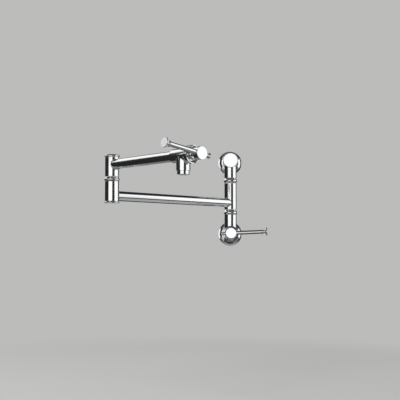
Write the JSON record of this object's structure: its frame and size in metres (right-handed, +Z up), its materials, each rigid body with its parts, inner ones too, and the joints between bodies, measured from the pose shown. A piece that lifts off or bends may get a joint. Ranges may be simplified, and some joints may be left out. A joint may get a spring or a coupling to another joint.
{
  "type": "wall mounted pot filler",
  "caption": "Chrome pot filler tap fixed to a wall at two points, with a double-jointed swing arm, an inlet valve and a spout valve with lever handles.",
  "frame": {"origin": "centre of the inlet's thread, in the plane of the wall", "axes": "+X right along the wall, +Y into the wall along the inlet's thread, +Z up"},
  "size_m": [0.3628, 0.6202, 0.24],
  "materials": {
    "polished_chrome": "polished chrome plate on brass",
    "bare_brass": "machined brass",
    "stainless_steel": "plain stainless steel",
    "black_rubber": "moulded seal rubber",
    "white_ceramic": "lapped alumina",
    "white_acetal": "moulded acetal"
  },
  "bodies": {
    "wall_mount": {"inlet_body": "polished_chrome", "inlet_flange": "polished_chrome", "support_flange": "polished_chrome", "flange_set_screws": "stainless_steel", "wall_bracket": "stainless_steel", "support_body": "polished_chrome", "support_set_screws": "stainless_steel", "support_cap": "polished_chrome", "lower_collar": "polished_chrome", "upper_collar": "polished_chrome", "lower_thrust_washer": "white_acetal", "upper_thrust_washer": "white_acetal", "post_stem": "bare_brass", "post_stem_o_rings": "black_rubber", "pivot_pin": "bare_brass", "pivot_o_ring": "black_rubber", "inlet_cartridge_body": "bare_brass", "inlet_fixed_disc": "white_ceramic", "inlet_seat_gasket": "black_rubber", "inlet_bonnet_ring": "polished_chrome"},
    "inner_arm": {"post_barrel": "polished_chrome", "inner_arm_tube": "polished_chrome", "elbow_lower_barrel": "polished_chrome", "elbow_base_cap": "polished_chrome", "elbow_collar": "polished_chrome", "elbow_thrust_washer": "white_acetal", "elbow_stem": "bare_brass", "elbow_stem_o_rings": "black_rubber", "elbow_retaining_nut": "bare_brass"},
    "outer_arm": {"elbow_upper_barrel": "polished_chrome", "elbow_top_cap": "polished_chrome", "outer_arm_tube": "polished_chrome", "spout_body": "polished_chrome", "aerator_housing": "polished_chrome", "aerator_honeycomb": "white_acetal", "aerator_gasket": "black_rubber", "spout_cartridge_body": "bare_brass", "spout_fixed_disc": "white_ceramic", "spout_seat_gasket": "black_rubber", "spout_bonnet_ring": "polished_chrome"},
    "inlet_handle": {"inlet_moving_disc": "white_ceramic", "inlet_spindle": "bare_brass", "inlet_spindle_o_ring": "black_rubber", "inlet_handle_hub": "polished_chrome", "inlet_handle_cap": "polished_chrome", "inlet_handle_screw": "stainless_steel", "inlet_lever": "polished_chrome", "inlet_lever_tail": "polished_chrome"},
    "spout_handle": {"spout_moving_disc": "white_ceramic", "spout_spindle": "bare_brass", "spout_spindle_o_ring": "black_rubber", "spout_handle_hub": "polished_chrome", "spout_handle_cap": "polished_chrome", "spout_handle_screw": "stainless_steel", "spout_lever": "polished_chrome", "spout_lever_tail": "polished_chrome"}
  },
  "joints": [
    {"name": "inner_arm_swing", "type": "hinge", "parent": "wall_mount", "child": "inner_arm", "pos_m": [0, -0.0615, 0.0754], "axis": [0, 0, 1], "range_deg": [-47, 132]},
    {"name": "outer_arm_swing", "type": "hinge", "parent": "inner_arm", "child": "outer_arm", "pos_m": [-0.25861, -0.34671, 0.1418], "axis": [0, 0, 1], "continuous": true},
    {"name": "inlet_lever_turn", "type": "hinge", "parent": "wall_mount", "child": "inlet_handle", "pos_m": [0, -0.098, 0], "axis": [0, 1, 0], "range_deg": [0, 90]},
    {"name": "spout_lever_turn", "type": "hinge", "parent": "outer_arm", "child": "spout_handle", "pos_m": [-0.10113, -0.51978, 0.1418], "axis": [-0.673, 0.7396, 0], "range_deg": [-8, 82]}
  ]
}
